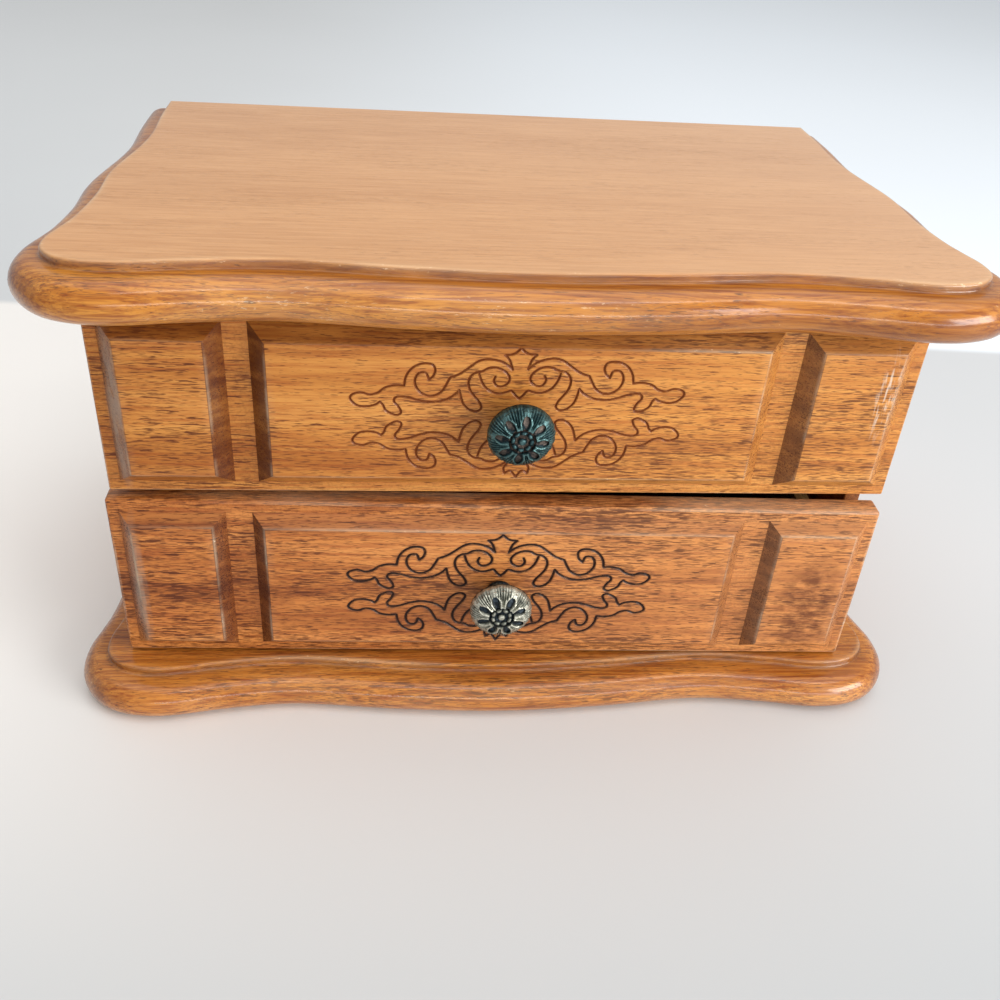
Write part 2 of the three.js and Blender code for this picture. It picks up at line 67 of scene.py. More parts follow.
def add_camera():
    ahead = Vector((
        math.sin(CAMERA_YAW) * math.cos(CAMERA_PITCH),
        math.cos(CAMERA_YAW) * math.cos(CAMERA_PITCH),
        -math.sin(CAMERA_PITCH),
    ))
    level = Vector((math.cos(CAMERA_YAW), -math.sin(CAMERA_YAW), 0))
    upright = level.cross(ahead)
    side = level * math.cos(CAMERA_ROLL) + upright * math.sin(CAMERA_ROLL)
    top = upright * math.cos(CAMERA_ROLL) - level * math.sin(CAMERA_ROLL)
    turn = Matrix((side, top, -ahead)).transposed()
    data = bpy.data.cameras.new("camera")
    data.lens = CAMERA_LENS
    data.sensor_width = 36
    data.clip_start = 0.01
    camera = bpy.data.objects.new("camera", data)
    camera.matrix_world = Matrix.Translation(CAMERA_PLACE) @ turn.to_4x4()
    bpy.context.scene.collection.objects.link(camera)
    bpy.context.scene.camera = camera


# Each light's name, place, size, power in watts and colour. They all point at LIGHT_TARGET.
LIGHT_TARGET = (0, 0, 0.07)
LIGHTS = [
    ("window", (0.95, -0.85, 0.46), (0.8, 0.5), 14, (1.0, 0.99, 0.97)),
    ("sill", (0.4, -2.0, 0.2), (2.0, 0.14), 8, (1.0, 0.99, 0.98)),
    ("strip", (0.25, -0.52, 1.15), (1.1, 0.07), 1.9, (1.0, 0.99, 0.97)),
    ("ceiling", (0.1, 0.1, 1.5), (1.8, 1.8), 12, (1.0, 1.0, 1.0)),
]
ROOM_COLOUR = (1.0, 0.995, 0.985, 1)
ROOM_STRENGTH = 0.54


def add_area_light(name, place, size, power, colour):
    """A soft light that lights the scene and shows in reflections, but not as a panel in the view."""
    data = bpy.data.lights.new(name, "AREA")
    data.shape = "RECTANGLE"
    data.size, data.size_y = size
    data.energy = power
    data.color = colour
    light = bpy.data.objects.new(name, data)
    light.visible_camera = False
    light.location = place
    aim = Vector(LIGHT_TARGET) - Vector(place)
    light.rotation_euler = aim.to_track_quat("-Z", "Y").to_euler()
    bpy.context.scene.collection.objects.link(light)


def add_lights():
    for light in LIGHTS:
        add_area_light(*light)
    world = bpy.data.worlds.new("world")
    world.use_nodes = True
    background = world.node_tree.nodes["Background"]
    background.inputs["Color"].default_value = ROOM_COLOUR
    background.inputs["Strength"].default_value = ROOM_STRENGTH
    scene = bpy.context.scene
    scene.world = world
    scene.view_settings.view_transform = "Standard"
    scene.view_settings.look = "None"


# ---- Material helpers ----
def srgb(red, green, blue):
    """A screen colour, 0 to 255, as a linear RGBA."""
    def linear(value):
        share = value / 255
        return share / 12.92 if share <= 0.04045 else ((share + 0.055) / 1.055) ** 2.4
    return (linear(red), linear(green), linear(blue), 1)


class Shader:
    """One Principled material and short ways to add nodes to it."""

    def __init__(self, name, **constants):
        self.material = bpy.data.materials.new(name)
        self.material.use_nodes = True
        self.tree = self.material.node_tree
        self.surface = self.tree.nodes["Principled BSDF"]
        self.place = self.node("TexCoord").outputs["Object"]
        for key, value in constants.items():
            self.surface.inputs[key.replace("_", " ").title().replace("Ior", "IOR")].default_value = value

    def node(self, kind, inputs=None, **settings):
        made = self.tree.nodes.new("ShaderNode" + kind)
        for key, value in settings.items():
            setattr(made, key, value)
        for key, value in (inputs or {}).items():
            self.put(made.inputs[key], value)
        return made

    def put(self, socket, value):
        if isinstance(value, bpy.types.NodeSocket):
            self.tree.links.new(value, socket)
        else:
            socket.default_value = value

    def noise(self, scale, detail=2.0, roughness=0.5, distortion=0.0, offset=(0, 0, 0)):
        """Noise of the given cells per metre along X, Y and Z."""
        mapped = self.node("Mapping", {"Vector": self.place, "Scale": scale, "Location": offset})
        return self.node("TexNoise", {
            "Vector": mapped.outputs["Vector"], "Scale": 1.0, "Detail": detail,
            "Roughness": roughness, "Distortion": distortion,
        }).outputs["Fac"]

    def math(self, operation, a, b=0.0, clamp=False):
        made = self.node("Math", {0: a, 1: b}, operation=operation)
        made.use_clamp = clamp
        return made.outputs[0]

    def times(self, a, b, clamp=False):
        return self.math("MULTIPLY", a, b, clamp)

    def plus(self, a, b, clamp=False):
        return self.math("ADD", a, b, clamp)

    def span(self, value, low, high, to_low=0.0, to_high=1.0, smooth=False):
        """value from low..high to to_low..to_high, clamped."""
        return self.node("MapRange", {
            "Value": value, "From Min": low, "From Max": high, "To Min": to_low, "To Max": to_high,
        }, interpolation_type="SMOOTHSTEP" if smooth else "LINEAR").outputs["Result"]

    def mix(self, share, a, b, blend="MIX"):
        made = self.node("Mix", {0: share, 6: a, 7: b}, data_type="RGBA", blend_type=blend)
        return made.outputs[2]

    def ramp(self, value, *stops):
        made = self.node("ValToRGB", {"Fac": value})
        band = made.color_ramp
        while len(band.elements) < len(stops):
            band.elements.new(0.5)
        for element, (position, colour) in zip(band.elements, stops):
            element.position = position
            element.color = colour
        return made.outputs["Color"]

    def attribute(self, name):
        return self.node("Attribute", attribute_name=name).outputs["Fac"]

    def spot(self, centre, size):
        """1 at centre, falling to 0 at an ellipsoid of the given half sizes."""
        away = self.node("VectorMath", {0: self.place, 1: centre}, operation="SUBTRACT")
        scaled = self.node("VectorMath", {0: away.outputs[0], 1: size}, operation="DIVIDE")
        length = self.node("VectorMath", {0: scaled.outputs[0]}, operation="LENGTH")
        return self.span(length.outputs["Value"], 1.0, 0.35, smooth=True)

    def bump(self, height, strength, distance):
        made = self.node("Bump", {"Height": height, "Strength": strength, "Distance": distance})
        self.put(self.surface.inputs["Normal"], made.outputs["Normal"])

    def colour(self, value):
        self.put(self.surface.inputs["Base Color"], value)

    def roughness(self, value):
        self.put(self.surface.inputs["Roughness"], value)


# ---- Wood ----
# Cells per metre of the wood's noises: along its grain and across it, from broad bands to fine pores.
BANDS = (1.8, 15, 15)
FIGURE = (5, 75, 75)
CROWDING = (11, 62, 62)
FIBRE = (42, 1050, 1050)
VESSEL = (165, 1900, 1900)
HAIR = (300, 4200, 4200)
CUT_GRAIN = (1300, 1300, 1300)

WOOD_COAT_ROUGHNESS = 0.14
WOOD_SPECULAR = 0.25
PORE_COVER = 0.86                # how far a pore hides the wood's own tone
WOOD_BUMP = 0.16 * MM


class Wood(Shader):
    """Lacquered open-pored hardwood with its grain along X or Y."""

    def __init__(self, name, light, middle, dark, pore, pores=0.5, gloss=(0.34, 0.55), coat=0.15,
                 fibres=0.4, shift=(0, 0, 0), along="X"):
        super().__init__(name, coat_weight=coat, coat_roughness=WOOD_COAT_ROUGHNESS,
                         specular_ior_level=WOOD_SPECULAR)
        if along == "Y":
            x, y, z = self.node("SeparateXYZ", {0: self.place}).outputs
            self.place = self.node("CombineXYZ", {0: y, 1: x, 2: z}).outputs[0]
        self.pore_colour = pore
        fibre = self.noise(FIBRE, 3, 0.65, 0.0, shift)
        self.pore = self.pore_pattern(pores, shift)
        tint = self.figured_tint(light, middle, dark, shift)
        tint = self.mix(self.span(fibre, 0.42, 0.66, 0.0, fibres), tint, dark, "MULTIPLY")
        self.tint = self.mix(self.times(self.pore, PORE_COVER), tint, pore)
        self.grain_height = self.math("SUBTRACT", self.times(fibre, 0.4), self.pore)
        grain = self.plus(self.pore, self.times(fibre, 0.5))
        self.rough = self.span(grain, 0.1, 1.2, *gloss)
        self.place_x = self.node("SeparateXYZ", {0: self.place}).outputs["X"]

    def figured_tint(self, light, middle, dark, shift):
        """Streaks and broad bands of three tones along the grain."""
        figure = self.noise(FIGURE, 4, 0.6, 0.8, shift)
        bands = self.noise(BANDS, 2, 0.5, 0.4, shift)
        streaks = self.plus(self.times(figure, 0.6), self.times(bands, 0.4))
        return self.ramp(streaks, (0.38, dark), (0.5, middle), (0.62, light))

    def pore_pattern(self, pores, shift):
        """1 in the open pores: short dark vessels and finer hairs, crowded in places."""
        crowding = self.times(self.noise(CROWDING, 3, 0.6, 0.0, shift), 0.4)
        vessel = self.plus(self.noise(VESSEL, 2.0, 0.5, 0.0, shift), crowding)
        hair = self.plus(self.noise(HAIR, 1.5, 0.5, 0.0, shift), crowding)
        wide = self.span(vessel, 0.92 - 0.2 * pores, 0.975 - 0.2 * pores)
        narrow = self.span(hair, 0.87 - 0.2 * pores, 0.95 - 0.2 * pores)
        return self.math("MAXIMUM", wide, self.times(narrow, 0.7))

    def lay(self, share, colour, blend="MIX"):
        """Tints the wood with a colour where share is 1."""
        self.tint = self.mix(share, self.tint, colour, blend)

    def soak(self, share, strength, shade):
        """Where share is 1, the wood drinks in more stain and shows speckled cut grain; on the bevels the
        share also carries painted shade.
        """
        speckle = self.noise(CUT_GRAIN, 3, 0.6)
        stained = self.mix(strength, self.tint, shade, "MULTIPLY")
        dotted = self.mix(self.span(speckle, 0.5, 0.62), stained, self.pore_colour)
        self.lay(share, self.mix(0.55, stained, dotted))

    def end_grain(self, strength, shade):
        """Ends that face along the grain."""
        axes = self.node("SeparateXYZ", {0: self.node("TexCoord").outputs["Normal"]})
        facing = self.math("ABSOLUTE", axes.outputs["X"])
        self.soak(self.span(facing, 0.3, 0.66, smooth=True), strength, shade)

    def stained_and_shaded_bevels(self, shade):
        """Bevels cut across the grain, darkened by the stain and painted shade painted on the mesh's
        faces.
        """
        patch = self.span(self.noise((45, 45, 300), 3, 0.6), 0.35, 0.6, 0.7, 1.0)
        self.soak(self.times(self.attribute("stain"), patch), 1.0, shade)

    def routed_ground(self, strength):
        """The low strips between the fields, from the rout painted on the mesh."""
        self.soak(self.times(self.attribute("rout"), strength), 0.1, srgb(205, 178, 140))

    def shaded_left_lit_right(self, left, right, deep, pale, strength):
        """Painted shade and light: the board is painted darker at its left end and paler at its right
        end, where more light falls.
        """
        along = self.span(self.place_x, left, right, smooth=True)
        self.lay(self.math("SUBTRACT", 1.0, along), deep, "MULTIPLY")
        self.lay(self.times(along, strength), pale)
        self.lay(self.times(self.pore, 0.45), self.pore_colour)

    def sun_bleached(self, light, dark, pale):
        """Painted sheen: the flat top, as painted on the mesh, is painted paler in grain streaks, and
        palest towards its right end as a painted reflection.
        """
        fine = self.noise((38, 900, 900), 3, 0.65)
        broad = self.noise((4, 34, 34), 3, 0.55, 0.5)
        streaks = self.plus(fine, self.times(broad, 0.45))
        sheen_tones = self.mix(self.span(streaks, 0.58, 0.92), light, dark)
        # painted reflection: paler towards the right end
        sheen_tones = self.mix(self.span(self.place_x, -60 * MM, 140 * MM, 0.0, 0.45), sheen_tones, pale)
        share = self.times(self.attribute("bleach"), 0.92)
        self.lay(share, sheen_tones)
        self.lay(self.times(self.pore, 0.22), self.pore_colour)

    def shaded_coves(self, colour):
        # Painted shade: darkens the cove at the foot of the top's step, where the mesh is painted for it.
        grime = self.attribute("grime")
        patch = self.noise((60, 300, 300), 3, 0.6)
        self.lay(self.times(grime, self.span(patch, 0.3, 0.6, 0.2, 0.65)), colour)

    def burnt_lines(self, colour, soot):
        """Engraved lines, from the burn painted on the mesh."""
        burn = self.attribute("burn")
        broken = self.noise((420, 420, 420), 3, 0.6)
        gaps = self.span(broken, 0.3, 0.45, 0.75, 1.0)
        core = self.times(self.span(burn, 0.45, 0.72, smooth=True), gaps, clamp=True)
        self.lay(self.span(burn, 0.05, 0.6, 0.0, soot), colour)
        self.lay(core, colour)
        self.rough = self.math("MAXIMUM", self.rough, self.times(core, 0.8))

    def worn_and_highlit_edges(self, pale, amount):
        """Pale nicks and rubbed lacquer, and a painted highlight along crests, steps and the bullnose,
        where the mesh is painted as an edge.
        """
        wear = self.attribute("wear")
        chips = self.noise((420, 1100, 1100), 4, 0.7)
        rubbed = self.noise((14, 60, 60), 3, 0.6)
        total = self.plus(chips, self.times(rubbed, 0.55))
        nick = self.span(total, 1.0 - amount * 0.1, 1.07 - amount * 0.1)
        # rubbed lacquer, partly a painted highlight
        light = self.times(self.span(rubbed, 0.4, 0.62), 0.26)
        self.lay(self.times(wear, light, clamp=True), pale)
        self.lay(self.times(wear, nick, clamp=True), pale)

    def mark(self, centre, size, stripes, low, high, colour, strength):
        """A local mark of fine stripes: a stain, a scuff, and the painted reflection on an outer bevel.
        """
        where = self.spot(centre, size)
        lines = self.span(self.noise(stripes, 3, 0.6), low, high)
        share = self.times(self.times(where, lines), strength, clamp=True)
        self.lay(share, colour)

    def done(self, strength=0.24):
        self.colour(self.tint)
        self.roughness(self.rough)
        self.bump(self.grain_height, strength, WOOD_BUMP)
        return self.material


def board_wood(name, tones, pores, shift, nicks, bleached=None):
    wood = Wood(name, *tones, srgb(98, 54, 20), pores=pores, gloss=(0.26, 0.46), coat=0.6,
                fibres=0.75, shift=shift)
    wood.end_grain(0.6, srgb(190, 165, 140))
    if bleached:
        wood.sun_bleached(*bleached)
    # painted shade in the cove under the step
    wood.shaded_coves(srgb(92, 54, 26))
    # nicks, and a painted highlight along the bullnose and step
    wood.worn_and_highlit_edges(srgb(240, 212, 170), nicks)
    return wood.done(0.35)


def lid_wood():
    tones = (srgb(202, 134, 52), srgb(188, 118, 39), srgb(158, 92, 27))
    # painted sheen for the flat top: two streak tones and a paler painted reflection for its right end
    sheen_tones = (srgb(218, 162, 107), srgb(196, 137, 81), srgb(229, 184, 144))
    return board_wood("lid_wood", tones, 0.25, (0, 0, 0), 0.6, sheen_tones)


def base_wood():
    tones = (srgb(214, 146, 68), srgb(198, 127, 52), srgb(162, 95, 34))
    return board_wood("base_wood", tones, 0.55, (3, 1, 2), 0.5)


BEVEL_SHADE = srgb(138, 112, 92)
NICK_AND_HIGHLIGHT_TONE = srgb(242, 222, 190)
OUTER_BEVEL = 5.7 * MM           # from a front's end to the middle of its outer bevel


def reflection_on_outer_bevel(wood, low, colour, strength):
    """Painted reflection: the left field's outer bevel is painted grey, as if it mirrored the pale room
    to its left.
    """
    wood.mark((low.x + OUTER_BEVEL, low.y, low.z + 27 * MM), (3 * MM, 20 * MM, 32 * MM),
              (500, 60, 90), 0.3, 0.55, colour, strength)


def upper_front_wood():
    low, high = straight_box("upper_drawer_front")
    wood = Wood("upper_front_wood", srgb(226, 160, 84), srgb(214, 144, 68), srgb(186, 114, 46),
                srgb(92, 40, 10), pores=0.62, coat=0.12, fibres=0.55, shift=(1, 4, 0))
    # stain and painted shade on the bevels
    wood.stained_and_shaded_bevels(BEVEL_SHADE)
    wood.routed_ground(0.4)
    # painted shade at the left end and painted light at the right end
    wood.shaded_left_lit_right(low.x, high.x, srgb(232, 230, 228), srgb(240, 184, 112), 0.1)
    scuff = (high.x - 10 * MM, low.y, low.z + 36 * MM)
    wood.mark(scuff, (4.5 * MM, 20 * MM, 17 * MM), (1100, 60, 150), 0.5, 0.66, srgb(232, 218, 200), 0.7)
    # painted grey reflection on the left field's outer bevel
    reflection_on_outer_bevel(wood, low, srgb(160, 140, 124), 0.6)
    wood.burnt_lines(srgb(112, 54, 14), 0.25)
    # nicks, and a painted highlight along the crests
    wood.worn_and_highlit_edges(NICK_AND_HIGHLIGHT_TONE, 0.3)
    return wood.done()


def lower_front_wood():
    low, high = straight_box("lower_drawer_front")
    wood = Wood("lower_front_wood", srgb(219, 147, 80), srgb(202, 127, 62), srgb(168, 97, 42),
                srgb(80, 32, 8), pores=0.72, coat=0.12, fibres=0.55, shift=(2, 7, 5))
    # stain and painted shade on the bevels
    wood.stained_and_shaded_bevels(BEVEL_SHADE)
    wood.routed_ground(0.45)
    # painted shade at the left end and painted light at the right end
    wood.shaded_left_lit_right(low.x, high.x, srgb(244, 242, 240), srgb(240, 188, 134), 0.13)
    stain = (high.x - 18 * MM, low.y, low.z + 22 * MM)
    wood.mark(stain, (13 * MM, 20 * MM, 27 * MM), (190, 40, 320), 0.36, 0.62, srgb(92, 44, 20), 0.8)
    # painted grey reflection on the left field's outer bevel
    reflection_on_outer_bevel(wood, low, srgb(150, 130, 114), 0.55)
    wood.burnt_lines(srgb(38, 18, 10), 0.4)
    # nicks, and a painted highlight along the crests
    wood.worn_and_highlit_edges(NICK_AND_HIGHLIGHT_TONE, 0.3)
    return wood.done()


def carcass_wood(along):
    wood = Wood(f"carcass_wood_{along}", srgb(190, 126, 70), srgb(172, 106, 54), srgb(138, 78, 36),
                srgb(70, 34, 14), pores=0.6, coat=0.15, fibres=0.5, shift=(5, 2, 1), along=along)
    return wood.done()


def box_wood(along):
    wood = Wood(f"box_wood_{along}", srgb(214, 178, 124), srgb(202, 162, 106), srgb(182, 138, 84),
                srgb(124, 86, 48), pores=0.3, gloss=(0.55, 0.7), coat=0.0, shift=(8, 3, 6), along=along)
    return wood.done(0.2)


# ---- Metal, velvet and glass ----
def cast_metal(name, high_colour, tarnish, outline, hollow):
    """Cast metal, rubbed bright where the relief painted on the mesh is proud, dark where it falls."""
    metal = Shader(name, metallic=0.85, specular_ior_level=0.6)
    relief = metal.attribute("relief")
    cloud = metal.noise((620, 620, 620), 4, 0.7)
    grit = metal.noise((2400, 2400, 2400), 2)
    rubbed = metal.plus(relief, metal.span(cloud, 0.3, 0.7, -0.2, 0.2), clamp=True)
    tint = metal.ramp(rubbed, (0.1, hollow), (0.32, outline), (0.6, tarnish), (0.9, high_colour))
    metal.colour(metal.mix(metal.span(grit, 0.5, 0.75, 0.0, 0.55), tint, outline))
    metal.roughness(metal.span(rubbed, 0.0, 1.0, 0.6, 0.36))
    metal.bump(metal.plus(grit, cloud), 0.5, 0.18 * MM)
    return metal.material


def dark_patina():
    return cast_metal("dark_knob", srgb(92, 124, 124), srgb(42, 68, 72), srgb(14, 24, 30),
                      srgb(112, 100, 92))


def pewter():
    return cast_metal("pewter_knob", srgb(198, 197, 182), srgb(110, 113, 103), srgb(18, 22, 26),
                      srgb(62, 72, 80))


def plain_metal(name, bright, dull, rough):
    """Stamped sheet metal or wire with fine brushing and spots of tarnish."""
    metal = Shader(name, metallic=1.0)
    brushed = metal.noise((140, 2600, 2600), 2)
    spots = metal.noise((330, 330, 330), 4, 0.65)
    tint = metal.mix(metal.span(spots, 0.45, 0.8, 0.0, 0.6), bright, dull)
    metal.colour(tint)
    metal.roughness(metal.span(metal.plus(brushed, spots), 0.7, 1.3, rough, rough + 0.25))
    metal.bump(brushed, 0.12, 0.05 * MM)
    return metal.material


def velvet():
    cloth = Shader("velvet", sheen_weight=0.55, sheen_roughness=0.35, sheen_tint=(0.95, 0.42, 0.4, 1),
                   specular_ior_level=0.15)
    nap = cloth.noise((90, 90, 90), 3, 0.6, 0.6)
    pile = cloth.noise((3600, 3600, 3600), 2, 0.6)
    tint = cloth.ramp(nap, (0.3, srgb(88, 11, 20)), (0.5, srgb(102, 15, 25)), (0.72, srgb(118, 21, 31)))
    cloth.colour(cloth.mix(cloth.span(pile, 0.4, 0.65, 0.5, 0.0), tint, srgb(48, 4, 10)))
    cloth.roughness(cloth.span(nap, 0.3, 0.7, 0.95, 0.8))
    cloth.bump(cloth.plus(pile, nap), 0.5, 0.35 * MM)
    return cloth.material


def mirror_glass():
    glass = Shader("mirror_glass", metallic=1.0, coat_weight=0.4)
    smear = glass.noise((24, 60, 24), 4, 0.6, 0.8)
    specks = glass.noise((700, 700, 700), 2)
    tint = glass.mix(glass.span(specks, 0.68, 0.74, 0.0, 0.5), srgb(232, 238, 240), srgb(120, 124, 122))
    glass.colour(tint)
    glass.roughness(glass.span(smear, 0.45, 0.75, 0.02, 0.14))
    return glass.material


# ---- Mesh helpers ----
def make(name, points, faces, material, sharp=None, **paint):
    """A mesh object, smooth except at edges sharper than sharp degrees.

    paint names attributes, each with a value for every point, or for every face.
    """
    mesh = bpy.data.meshes.new(name)
    mesh.from_pydata([tuple(p) for p in np.asarray(points, float)], [], faces)
    mesh.materials.append(material)
    mesh.polygons.foreach_set("use_smooth", np.ones(len(mesh.polygons), bool))
    if sharp is not None:
        mesh.set_sharp_from_angle(angle=math.radians(sharp))
    for key, values in paint.items():
        layer = mesh.attributes.new(key, "FLOAT", "FACE" if len(values) == len(faces) else "POINT")
        layer.data.foreach_set("value", np.asarray(values, np.float32))
    mesh.update()
    piece = bpy.data.objects.new(name, mesh)
    bpy.context.scene.collection.objects.link(piece)
    return piece


def settle(piece, slot, *nodes):
    """piece stands for CAD nodes of one body and rides on it; the nodes are hidden. slot is not used."""
    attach(piece, BODY_OF[nodes[0]])
    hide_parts(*nodes)
    return piece


DRAWER_RACK = {"lower_drawer": -0.022}    # how the lower drawer is racked in its bay, in radians


def turned(points, angle):
    """Points turned about the Z axis."""
    turn = np.array([[math.cos(angle), math.sin(angle), 0], [-math.sin(angle), math.cos(angle), 0],
                     [0, 0, 1]])
    return np.asarray(points) @ turn


def rack_of(node):
    return DRAWER_RACK.get(BODY_OF[node], 0.0)


def straight_box(node):
    """The node's box in the frame of its drawer, which may be racked: turned() by rack_of() goes back."""
    points = turned([v.co for v in NODES[node].data.vertices], -rack_of(node))
    return Vector(points.min(0)), Vector(points.max(0))


def smooth_line(knots, steps):
    """Points on the Catmull-Rom curve through knots, steps to a span."""
    knots = np.asarray(knots, float)
    padded = np.vstack([2 * knots[0] - knots[1], knots, 2 * knots[-1] - knots[-2]])
    a, b, c, d = padded[:-3, None], padded[1:-2, None], padded[2:-1, None], padded[3:, None]
    t = (np.arange(steps) / steps)[None, :, None]
    curve = 0.5 * (2 * b + (c - a) * t + (2 * a - 5 * b + 4 * c - d) * t**2
                   + (3 * b - a - 3 * c + d) * t**3)
    return np.vstack([curve.reshape(-1, knots.shape[1]), knots[-1]])


def ring_faces(rings, count):
    """Quads between rings of count points each, and a face over the first ring and the last."""
    faces = []
    last = (rings - 1) * count
    for low in range(0, last, count):
        high = low + count
        for i in range(count):
            j = (i + 1) % count
            faces.append((low + i, low + j, high + j, high + i))
    faces.append(tuple(reversed(range(count))))
    faces.append(tuple(range(last, last + count)))
    return faces


def rounded_lines(low, high, radius, steps, spacing):
    """Grid lines along one side of a block: close together where it is rounded."""
    turns = radius * (1 - np.tan(np.radians(np.linspace(45, 0, steps + 1))))
    inside = max(1, round((high - low - 2 * radius) / spacing))
    middle = np.linspace(low + radius, high - radius, inside + 1)
    return np.concatenate([low + turns[:-1], middle, (high - turns[:-1])[::-1]])


def rounded_block(low, high, radius, steps=3, spacing=1.0):
    """Points and faces of a box with its edges and corners rounded."""
    lines = [rounded_lines(low[k], high[k], radius, steps, spacing) for k in range(3)]
    index, points, faces = {}, [], []

    def corner(key):
        if key not in index:
            index[key] = len(points)
            points.append([lines[k][key[k]] for k in range(3)])
        return index[key]

    for axis in range(3):
        u, v = (axis + 1) % 3, (axis + 2) % 3
        for side in (0, len(lines[axis]) - 1):
            for i in range(len(lines[u]) - 1):
                for j in range(len(lines[v]) - 1):
                    square = [(i, j), (i + 1, j), (i + 1, j + 1), (i, j + 1)]
                    keys = []
                    for a, b in square if side else reversed(square):
                        key = [0, 0, 0]
                        key[axis], key[u], key[v] = side, a, b
                        keys.append(corner(tuple(key)))
                    faces.append(tuple(keys))
    points = np.array(points)
    core = np.clip(points, np.array(low) + radius, np.array(high) - radius)
    out = points - core
    length = np.linalg.norm(out, axis=1, keepdims=True)
    return core + out / np.maximum(length, 1e-12) * radius, faces


def merge(*parts):
    """Joins (points, faces) pairs into one."""
    points, faces, start = [], [], 0
    for part_points, part_faces in parts:
        points.append(np.asarray(part_points, float))
        faces += [tuple(i + start for i in face) for face in part_faces]
        start += len(part_points)
    return np.vstack(points), faces


# ---- Serpentine boards ----
BOARD_BULLNOSE = 6.0 * MM
FRONT_SHOULDER = 3.4 * MM
SIDE_SHOULDER = 2.3 * MM
BOARD_STEP = 0.7 * MM
BULLNOSE_STEPS = 18
OUTLINE_STEPS = 5


def step_outline(node):
    """The foot of the top's small step, from the back left round the front to the back right."""
    low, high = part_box(node)
    middle_x = (low.x + high.x) / 2
    points = np.array([v.co for v in NODES[node].data.vertices])
    ring = points[np.abs(points[:, 2] - (high.z - BOARD_STEP)) < 0.02 * MM][:, :2]
    ring = np.unique(np.round(ring, 6), axis=0)
    middle_y = (low.y + high.y) / 2
    turn = np.arctan2(middle_x - ring[:, 0], middle_y - ring[:, 1])
    ring = ring[np.argsort(-turn)]
    return smooth_line(ring[::-1] if ring[0, 0] > middle_x else ring, OUTLINE_STEPS)


def outline_normals(line):
    ahead = np.gradient(line, axis=0)
    out = np.stack([ahead[:, 1], -ahead[:, 0]], axis=1)
    out /= np.linalg.norm(out, axis=1, keepdims=True)
    out[0] = (-1, 0)
    out[-1] = (1, 0)
    return out


def board_profile(thickness):
    """The edge from the underside to the flat top.

    Each row is the share of the shoulder's width, the distance past that, the height, and the
    wear with painted highlight, the painted shade and the painted sheen to paint.
    """
    profile = []
    for turn in np.linspace(-90, 90, BULLNOSE_STEPS + 1):
        angle = math.radians(turn)
        out = BOARD_BULLNOSE * math.cos(angle)
        wear = 0.35 if abs(turn) < 60 else 0.1
        profile.append((1.0, out, BOARD_BULLNOSE * (1 + math.sin(angle)), wear, 0.0, 0.0))
    crown = 2 * BOARD_BULLNOSE
    profile += [
        (0.5, 0, crown, 0.0, 0.1, 0.0), (0, 0.9 * MM, crown + 0.03 * MM, 0.0, 0.5, 0.0),
        (0, 0.4 * MM, crown + 0.15 * MM, 0.0, 0.9, 0.0), (0, 0.1 * MM, crown + 0.4 * MM, 0.0, 1.0, 0.0),
        (0, 0, crown + 0.8 * MM, 0.0, 0.9, 0.0),
    ]
    for turn in np.linspace(0, 90, 5):
        angle = math.radians(turn)
        out = -BOARD_STEP * (1 - math.cos(angle))
        height = thickness - BOARD_STEP * (1 - math.sin(angle))
        profile.append((0, out, height, 0.5 + turn / 180, 0.8 - turn / 120, turn / 90))
    profile += [(0, -1.6 * MM, thickness, 0.2, 0.0, 1.0), (0, -3.0 * MM, thickness, 0.0, 0.0, 1.0)]
    return profile


def add_board(node, material, slot):
    low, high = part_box(node)
    line = step_outline(node)
    out = outline_normals(line)
    shoulder = SIDE_SHOULDER + (FRONT_SHOULDER - SIDE_SHOULDER) * np.clip(-out[:, 1:], 0, 1) ** 2
    points, paint = [], []
    for share, reach, height, *painted in board_profile(high.z - low.z):
        ring = line + out * (share * shoulder + reach)
        ring[:, 1] = np.minimum(ring[:, 1], high.y)
        points.append(np.column_stack([ring, np.full(len(ring), low.z + height)]))
        paint += [painted] * len(ring)
    wear, grime, bleach = np.array(paint).T
    faces = ring_faces(len(points), len(line))
    piece = make(f"{node}_moulded", np.vstack(points), faces, material, sharp=50,
                 wear=wear, grime=grime, bleach=bleach)
    settle(piece, slot, node)


# ---- Fronts ----
FRONT_GROUND = 7.5 * MM
EDGE_STRIP = 3.5 * MM
RAIL_BELOW = 3.4 * MM
RAIL_ABOVE = 3.6 * MM
OUTER_FIELD = 23.3 * MM
STILE = {"upper": 6.6 * MM, "lower": 7.6 * MM}
SLAB_ROUNDING = {"upper": 0.6 * MM, "lower": 1.1 * MM}
CREST = 0.33 * MM
SKIRT = 0.5 * MM
ENGRAVED_X = 49 * MM
ENGRAVED_Z = 21.2 * MM
FINE = 0.26 * MM
COARSE = 2.5 * MM
GROOVE_HALF_WIDTH = {"upper": 0.38 * MM, "lower": 0.46 * MM}
GROOVE_DEPTH = 0.42 * MM
GROOVE_LIP_HEIGHT = 0.05 * MM
GROOVE_LIP_WIDTH = 0.3 * MM
RIM_WEAR_AND_HIGHLIGHT = 0.15
FRONT_SHARP = 38                 # degrees above which a front's edge is drawn sharp
BURN_REACH = 2 * GROOVE_HALF_WIDTH["lower"]
ORNAMENT_TILT = {"upper": math.radians(1.7), "lower": 0.0}
TAIL_LIFT = {"upper": 0.02, "lower": 0.0}    # how far the upper half's tails rise, per unit of length

# How darkly the bottom, right, top and left bevels of each field are painted, from the left field to the
# right one:
# partly the stain the end grain took, partly painted shade on the bevels the light reaches less, the top
# ones under the overhang among them.
BEVEL_STAIN_AND_SHADE = {
    "upper": [(0.1, 1.0, 0.75, 0.5), (0.05, 0.3, 0.6, 1.0), (0.1, 0.2, 0.5, 0.95)],
    "lower": [(0.15, 0.9, 0.5, 0.45), (0.1, 0.6, 0.35, 1.0), (0.15, 0.25, 0.5, 1.0)],
}

